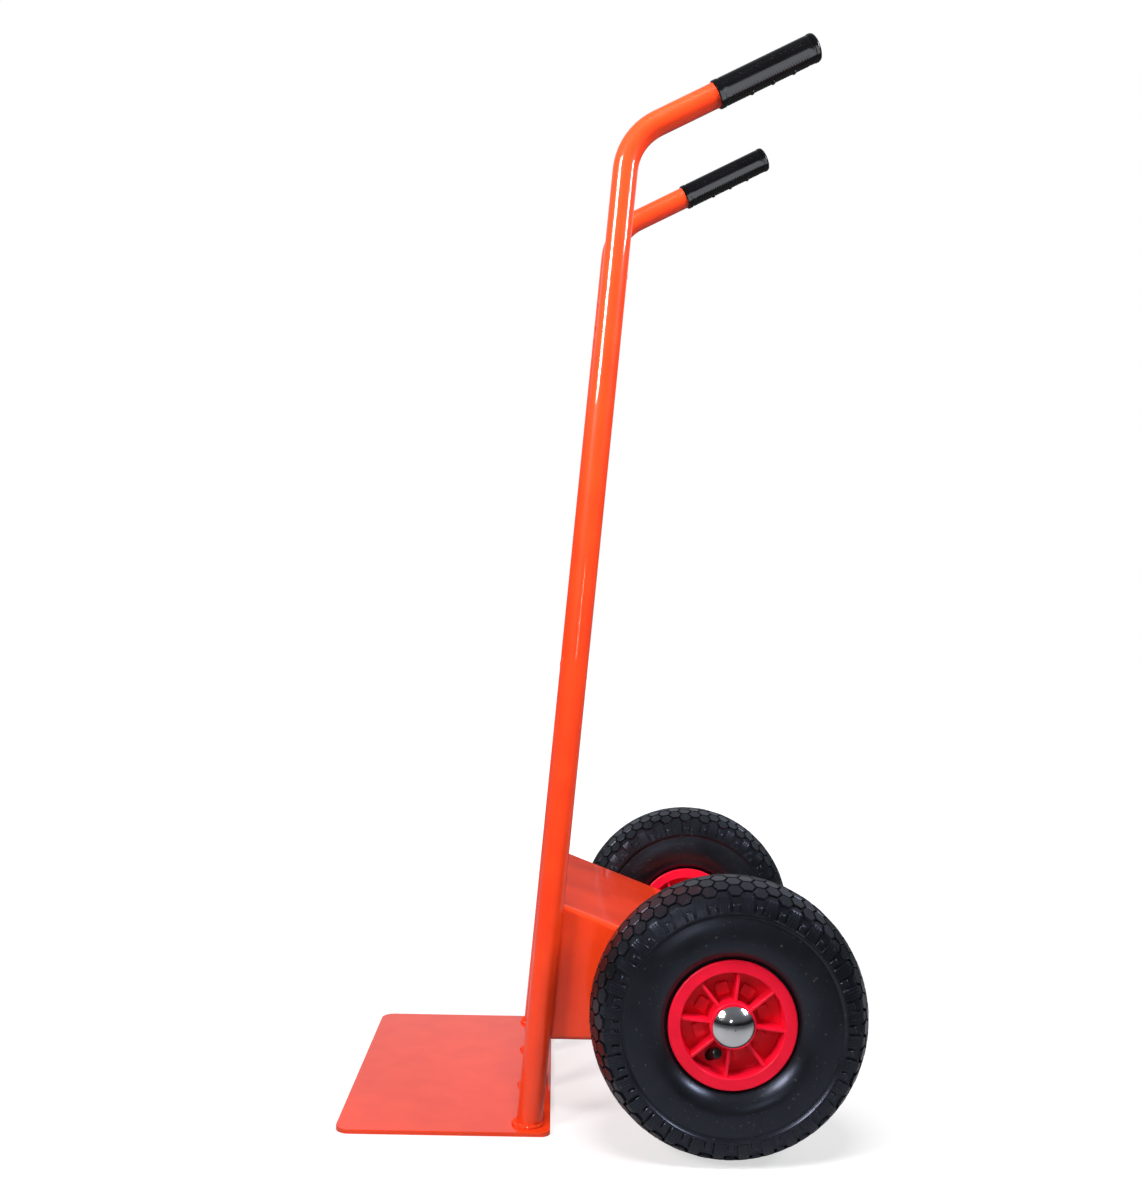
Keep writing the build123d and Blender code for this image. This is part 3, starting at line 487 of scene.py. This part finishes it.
def add_lug(bm, outline, width, along, bevel, inner_share=1.0):
    """A block of a width with an outline of (across, radius) points, turned by an angle round the tyre."""
    start = [bm.verts.new((-width / 2, across, radius)) for across, radius in outline]
    pulled = bmesh.ops.extrude_face_region(bm, geom=[bm.faces.new(start)])["geom"]
    end = parts_of(pulled, bmesh.types.BMVert)
    bmesh.ops.translate(bm, vec=(width, 0, 0), verts=end)
    verts = start + end
    narrow = [v for v in verts if v.co.y < TREAD_HALF - 4 and v.co.z > CROWN_CENTRE + TREAD_DROP]
    bmesh.ops.scale(bm, vec=(inner_share, 1, 1), verts=narrow)
    if bevel:
        edges = list({edge for v in verts for edge in v.link_edges})
        rim = bmesh.ops.bevel(bm, geom=edges, offset=bevel, segments=1, profile=0.5, material=-1,
                              affect="EDGES")
        verts = [v for v in verts if v.is_valid] + rim["verts"]
    bmesh.ops.rotate(bm, matrix=Matrix.Rotation(along, 3, "Y"), verts=list(set(verts)))


# %% One step of the tread, spun round the wheel
WIDE_LUG = 10.6
INNER_SHARE = 0.62           # its width between the knobs, as a share
SHORT_LUG = 5.8
RIBS = 4
RIB_WIDTH = 1.3
RIB_SPACING = 2.7
RIB_RADIUS = 111.0           # where that spacing is measured


def add_tread(bm):
    """All knobs and lugs: one step is built, mirrored to the other shoulder, and spun into a full round."""
    for rib in range(RIBS):
        beside = (rib - (RIBS - 1) / 2) * RIB_SPACING
        add_lug(bm, RIB_OUTLINE, RIB_WIDTH, STEP / 2 + beside / RIB_RADIUS, 0)
    add_lug(bm, WIDE_OUTLINE, WIDE_LUG, STEP / 2, KNOB_BEVEL, INNER_SHARE)
    add_lug(bm, SHORT_OUTLINE, SHORT_LUG, 0, KNOB_BEVEL)
    shoulder = bm.verts[:] + bm.edges[:] + bm.faces[:]
    bmesh.ops.mirror(bm, geom=shoulder, axis="Y", merge_dist=-1)
    for row in range(-ROWS_BESIDE_MIDDLE, ROWS_BESIDE_MIDDLE + 1):
        add_knob(bm, row)
    one_step = bm.verts[:] + bm.edges[:] + bm.faces[:]
    bmesh.ops.spin(bm, geom=one_step, cent=(0, 0, 0), axis=(0, 1, 0), angle=STEP * (STEPS_ROUND - 1),
                   steps=STEPS_ROUND - 1, use_duplicate=True)


# %% [markdown]
# ## Tyres: the casing
# The casing under the tread is a closed outline spun round the axle: crown, recessed shoulder, raised
# ring, dull band, bulged side wall, bead, and the space inside for the tube. Long arcs are a vertex spun
# round a centre, and the rest are a few straight lines. Only the outboard half is drawn, and mirrored.

# %% Outline helpers
def draw_to(bm, last, points):
    """Draws straight lines on from a vertex through (across, radius) points."""
    for across, radius in points:
        vertex = bm.verts.new((0, across, radius))
        bm.edges.new((last, vertex))
        last = vertex
    return last


def draw_arc(bm, last, centre, degrees, steps):
    """Draws an arc on from a vertex round an (across, radius) centre."""
    swept = bmesh.ops.spin(bm, geom=[last], cent=(0, *centre), axis=(1, 0, 0), angle=radians(degrees),
                           steps=steps)
    return parts_of(swept["geom_last"], bmesh.types.BMVert)[0]


# %% The casing
CROWN_TURN = 34              # degrees of the crown's arc from the middle to the recessed shoulder
SHOULDER_AND_RING = [(35.0, 109.5), (36.9, 105.3), (39.2, 104.6), (39.9, 103.9), (39.9, 102.7),
                     (39.0, 101.9)]
BEAD_ACROSS = 26.8
BEAD_INNER = 15.0            # across, where the bead's seat ends and the space for the tube opens
BEAD_RADIUS = 60.1           # where the side wall meets the rim's flange
BELLY_RADIUS = 82.0          # where the side wall is widest
WALL_TOP = (37.9, 99.9)      # (across, radius) where the dull band ends and the side wall starts to bulge
SEAT_RADIUS = 51.0
CAVITY = 34.0
CAVITY_CENTRE = 86.0
CASING_STEPS = 192
MOULDED_LINES = 3            # fine rings round the wall, close to the rim
LINE_RAISE = 0.4
LINE_TURN = 1.3              # degrees of the wall's arc that a line and a gap each take
LINES_START = 13.0           # degrees of the wall's arc from the first line to the bead


def add_casing(bm):
    """The tyre's body with its bead and inner space, as one closed skin in an empty bmesh."""
    last = bm.verts.new((0, 0, CROWN_CENTRE + CROWN_RADIUS - GROOVE_DEPTH))
    last = draw_arc(bm, last, (0, CROWN_CENTRE), -CROWN_TURN, 8)
    last = draw_to(bm, last, SHOULDER_AND_RING + [WALL_TOP])
    bulge = TYRE_HALF - WALL_TOP[0]
    rise = WALL_TOP[1] - BELLY_RADIUS
    bulge_radius = (bulge ** 2 + rise ** 2) / (2 * bulge)
    bulge_turn = asin(rise / bulge_radius) * 180 / pi
    last = draw_arc(bm, last, (TYRE_HALF - bulge_radius, BELLY_RADIUS), -bulge_turn, 8)
    tuck = TYRE_HALF - BEAD_ACROSS
    drop = BELLY_RADIUS - BEAD_RADIUS
    wall_radius = (tuck ** 2 + drop ** 2) / (2 * tuck)
    wall_turn = acos(1 - tuck / wall_radius) * 180 / pi
    wall_centre = Vector((TYRE_HALF - wall_radius, BELLY_RADIUS))
    last = draw_arc(bm, last, wall_centre, LINES_START - wall_turn, 12)
    for _ in range(MOULDED_LINES):
        last = draw_arc(bm, last, wall_centre, -LINE_TURN, 1)
        outwards = (last.co.yz - wall_centre).normalized() * LINE_RAISE
        last = draw_to(bm, last, [last.co.yz + outwards])
        last = draw_arc(bm, last, wall_centre, -LINE_TURN, 1)
        last = draw_to(bm, last, [last.co.yz - outwards])
    last = draw_arc(bm, last, wall_centre, 2 * LINE_TURN * MOULDED_LINES - LINES_START, 3)
    cavity_start = CAVITY_CENTRE - sqrt(CAVITY ** 2 - BEAD_INNER ** 2)
    last = draw_to(bm, last, [(BEAD_ACROSS, SEAT_RADIUS), (BEAD_INNER, SEAT_RADIUS),
                              (BEAD_INNER, cavity_start)])
    turn_to_top = 180 - acos((CAVITY_CENTRE - cavity_start) / CAVITY) * 180 / pi
    draw_arc(bm, last, (0, CAVITY_CENTRE), turn_to_top, 12)
    bmesh.ops.mirror(bm, geom=bm.verts[:] + bm.edges[:], axis="Y", merge_dist=0.01)
    bmesh.ops.spin(bm, geom=bm.verts[:] + bm.edges[:], cent=(0, 0, 0), axis=(0, 1, 0), angle=2 * pi,
                   steps=CASING_STEPS, use_merge=True)


# %% Both tyres
RIGHT_ROLL = radians(21)     # the right wheel has rolled on from the left one

tyre_bm = bmesh.new()
add_casing(tyre_bm)
casing = bpy.data.meshes.new("casing")
tyre_bm.to_mesh(casing)
tyre_bm.clear()
add_tread(tyre_bm)
tyre_bm.from_mesh(casing)
for side, turn, roll in (("left", 0, 0), ("right", pi, RIGHT_ROLL)):
    low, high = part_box(f"{side}_tyre")
    place = (Matrix.Translation((low + high) / 2) @ Matrix.Rotation(turn, 4, "Z")
             @ Matrix.Rotation(roll, 4, "Y"))
    finish_piece(tyre_bm.copy(), f"{side}_tyre_with_tread", place, rubber, f"{side}_wheel",
                 f"{side}_tyre")
tyre_bm.free()
bpy.data.meshes.remove(casing)

# %% [markdown]
# ## Grips
# A grip is a sleeve of soft vinyl pushed on the handle. It has a collar at each end, fine ribs across its
# lower half and three bumps between the fingers. The sleeve is an outline of rings spun round the handle,
# with four rings for each rib. Then the upper part of each rib is lifted level, so the ribs run only
# underneath.

# %% One grip, drawn along Z from its open end
HANDLE_RISE = radians(27.5)
COLLAR = 7.0
GROOVE = 0.7
WAIST = 0.35                 # how much thinner the sleeve is between its collars
RIBS_CLEAR = 4.0             # smooth length between a collar and the first rib
RIB_PITCH = 3.0
RIB_TOP = 1.3
RIB_DEPTH = 0.35
RIBS_FROM = 0.35             # how far down the side the ribs begin, 0 at the middle and 1 at the bottom
RIBS_FADE = 0.35
END_WALL = 3.0
GRIP_WALL = 1.9
FIT = 0.05                   # keeps the sleeve inside the box of the design's grip
BUMPS_AT = (34.0, 57.0, 80.0)
BUMP = (1.7, 4.5, 2.2)       # half sizes: outwards, round the grip and along it
BUMP_SINK = 0.5


def grip_mesh(length, radius, bore):
    """A closed sleeve along Z with its upper side towards +X."""
    bm = bmesh.new()
    body = radius - WAIST
    first_rib = COLLAR + RIBS_CLEAR
    ribs = int((length - 2 * first_rib) / RIB_PITCH)
    rings = [(bore, length - END_WALL), (bore, 0.0), (radius - 0.8, 0.0), (radius, 1.0),
             (radius, COLLAR - 1.5), (radius - GROOVE, COLLAR - 0.8), (radius - GROOVE, COLLAR + 0.4),
             (body, COLLAR + 1.2)]
    for rib in range(ribs):
        start = first_rib + rib * RIB_PITCH
        rings += [(body, start), (body, start + RIB_TOP), (body - RIB_DEPTH, start + RIB_TOP + 0.4),
                  (body - RIB_DEPTH, start + RIB_PITCH - 0.4)]
    end = length - COLLAR
    rings += [(body, end - 1.2), (radius - GROOVE, end - 0.4), (radius - GROOVE, end + 0.8),
              (radius, end + 1.5), (radius, length - 2.6), (radius - 0.8, length - 0.9),
              (radius - 2.4, length), (0.0, length)]
    last = bm.verts.new((0, 0, length - END_WALL))
    for across, height in rings:
        vertex = bm.verts.new((across, 0, height))
        bm.edges.new((last, vertex))
        last = vertex
    bmesh.ops.spin(bm, geom=bm.verts[:] + bm.edges[:], cent=(0, 0, 0), axis=(0, 0, 1), angle=2 * pi,
                   steps=64, use_merge=True)
    for vertex in bm.verts:
        across = vertex.co.xy.length
        in_ribs = first_rib < vertex.co.z < first_rib + ribs * RIB_PITCH
        if in_ribs and across > bore + 0.5:
            share = min(max((-vertex.co.x / across - RIBS_FROM) / RIBS_FADE, 0.0), 1.0)
            vertex.co.xy *= (body - (body - across) * share) / across
    for height in BUMPS_AT:
        flat = Matrix.Translation((BUMP_SINK - body, 0, height)) @ Matrix.Diagonal((*BUMP, 1))
        bmesh.ops.create_uvsphere(bm, u_segments=20, v_segments=12, radius=1.0, matrix=flat)
    return bm


# %% Both grips
for side in ("left", "right"):
    low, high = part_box(f"{side}_grip")
    radius = (high.y - low.y) / 2 / MM
    length = ((high.x - low.x) / MM - 2 * radius * sin(HANDLE_RISE)) / cos(HANDLE_RISE)
    bm = grip_mesh(length, radius - FIT, radius - GRIP_WALL)
    bmesh.ops.translate(bm, vec=(0, 0, -length / 2), verts=bm.verts)
    along = Vector((-cos(HANDLE_RISE), 0, sin(HANDLE_RISE)))
    up = Vector((sin(HANDLE_RISE), 0, cos(HANDLE_RISE)))
    turned = Matrix((up, along.cross(up), along)).transposed().to_4x4()
    finish_piece(bm, f"{side}_ribbed_grip", Matrix.Translation((low + high) / 2) @ turned, grip_vinyl,
                 "frame", f"{side}_grip")
    print(side, "grip length", round(length, 1))

# %% [markdown]
# ## A reflector for the grips
# Black vinyl has hardly a colour of its own: it is seen by what it mirrors. A photographer leans a white
# card in front, from the floor up to the height of the handles, and each grip draws it as one long pale
# band with a sharp upper edge. The card is a lamp that only the grips receive, because on the tubes it
# would spoil the streaks, and it doesn't lighten their black.

# %% Card in front
CARD_WIDTH = 3.2
CARD_BELOW = Vector((-1.25, 0.44, 0.11))      # the middles of its lower and upper edge
CARD_ABOVE = Vector((-1.25, 3.16, 1.24))

card_rise = CARD_ABOVE - CARD_BELOW
card_middle = (CARD_BELOW + CARD_ABOVE) / 2
faces = Vector((0, -card_rise.z, card_rise.y))
card = soft_box("white card", card_middle, card_middle + faces, CARD_WIDTH, card_rise.length, 140, "F4F6FF")
card.visible_diffuse = False
dark_pieces = bpy.data.collections.new("what the card lights")
for side in ("left", "right"):
    dark_pieces.objects.link(bpy.data.objects[f"{side}_ribbed_grip"])
card.light_linking.receiver_collection = dark_pieces

# %% [markdown]
# ## Weld beads
# The tubes are joined by electric welding. The wire melts drop by drop while the torch goes round, so a
# bead is a string of small waves, never a smooth ring. A wave about every 2.5 mm and a little slow
# unevenness are enough to read as a weld under the paint. Each bead is a small circle spun round the tube
# and then swollen in waves. Where a tube meets another from the side, the bead also follows the other's
# round flank, as a saddle does. The plain beads of the design model give the places and sizes.

# %% Where the beads are
def beads_of(name):
    """Centre and size, in millimetres, of every separate bead in a CAD node."""
    bm = bmesh.new()
    bm.from_mesh(nodes[name].data)
    bmesh.ops.remove_doubles(bm, verts=bm.verts, dist=0.01 * MM)
    unseen = set(bm.verts)
    found = []
    while unseen:
        bead = [unseen.pop()]
        for vertex in bead:
            fresh = [e.other_vert(vertex) for e in vertex.link_edges if e.other_vert(vertex) in unseen]
            unseen -= set(fresh)
            bead += list(dict.fromkeys(fresh))
        low = Vector([min(v.co[axis] for v in bead) for axis in range(3)]) / MM
        high = Vector([max(v.co[axis] for v in bead) for axis in range(3)]) / MM
        found.append(((low + high) / 2, high - low))
    bm.free()
    return sorted(found, key=lambda one: tuple(round(c) for c in one[0]))


foot_beads = beads_of("foot_welds")
bar_beads = beads_of("crossbar_welds")
print(len(foot_beads), "beads at the feet,", len(bar_beads), "at the cross-bars")

# %% One rippled bead
RIPPLE = 2.5                 # millimetres from wave to wave
RIPPLE_SHARE = 0.10          # how much thicker a wave is than the bead, as a share
LUMP_SHARE = 0.22
STEPS_PER_RIPPLE = 4


def add_bead(bm, place, ring, thick, crossed=None):
    """A bead round local Z. If crossed is given, it saddles a tube of that radius along local Y."""
    bead = bmesh.new()
    waves = round(2 * pi * ring / RIPPLE)
    upright = Matrix.Translation((ring, 0, 0)) @ Matrix.Rotation(radians(90), 4, "X")
    bmesh.ops.create_circle(bead, segments=10, radius=thick, matrix=upright)
    bmesh.ops.spin(bead, geom=bead.verts[:] + bead.edges[:], cent=(0, 0, 0), axis=(0, 0, 1), angle=2 * pi,
                   steps=waves * STEPS_PER_RIPPLE, use_merge=True)
    for vertex in bead.verts:
        angle = atan2(vertex.co.y, vertex.co.x)
        middle = Vector((cos(angle), sin(angle), 0)) * ring
        lump = noise.noise((place.translation + middle) * 0.16)
        swell = 1 + RIPPLE_SHARE * cos(waves * angle) + LUMP_SHARE * lump
        vertex.co = middle + (vertex.co - middle) * swell
        if crossed:
            aside = min(abs(vertex.co.x), 0.93 * crossed)
            vertex.co.z += crossed - sqrt(crossed ** 2 - aside ** 2)
    bmesh.ops.transform(bead, matrix=place, verts=bead.verts)
    joined = bpy.data.meshes.new("bead")
    bead.to_mesh(joined)
    bead.free()
    bm.from_mesh(joined)
    bpy.data.meshes.remove(joined)


# %% Beads at the feet
FOOT_BEAD = 3.0              # radius of the bead itself
FOOT_HUG = 2.2               # how much closer to the tube its middle runs
FOOT_SINK = 0.8              # how much of that radius is in the plate

bm = bmesh.new()
for centre, size in foot_beads:
    floor_of_bead = centre.z - size.z / 2
    place = Matrix.Translation((centre.x, centre.y, floor_of_bead + (1 - FOOT_SINK) * FOOT_BEAD))
    add_bead(bm, place, size.x / 2 - FOOT_BEAD - FOOT_HUG, FOOT_BEAD)
finish_piece(bm, "rippled_foot_welds", Matrix(), enamel, "frame", "foot_welds")

# %% Beads at the cross-bars
BAR_BEAD = 2.8

bm = bmesh.new()
bar_low, bar_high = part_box("upper_crossbar")
top_bar = (bar_low + bar_high) / 2 / MM
lean = (Vector((top_bar.x, 0, top_bar.z)) - Vector((foot_beads[0][0].x, 0, 0))).normalized()
tubes = []
for name in ("left_frame_tube", "left_inner_upright", "right_inner_upright", "right_frame_tube"):
    low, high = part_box(name)
    tubes.append(((low.y + high.y) / 2 / MM, (high.y - low.y) / 2 / MM))
for centre, size in bar_beads:
    if size.z < size.y / 2:
        along, crossed_axis, crossed = lean, Vector((0, 1, 0)), (bar_high.z - bar_low.z) / 2 / MM
        start = Vector((top_bar.x, centre.y, top_bar.z)) - along * (crossed + 0.3 * BAR_BEAD)
        ring = size.y / 2 - BAR_BEAD
    else:
        tube_y, crossed = min(tubes, key=lambda tube: abs(tube[0] - centre.y))
        along, crossed_axis = Vector((0, 1 if tube_y > centre.y else -1, 0)), lean
        start = Vector((centre.x, tube_y, centre.z)) - along * (crossed + 0.3 * BAR_BEAD)
        ring = size.z / 2 - BAR_BEAD
    turned = Matrix((crossed_axis.cross(along), crossed_axis, along)).transposed().to_4x4()
    add_bead(bm, Matrix.Translation(start) @ turned, ring, BAR_BEAD, crossed)
finish_piece(bm, "rippled_crossbar_welds", Matrix(), enamel, "frame", "crossbar_welds")
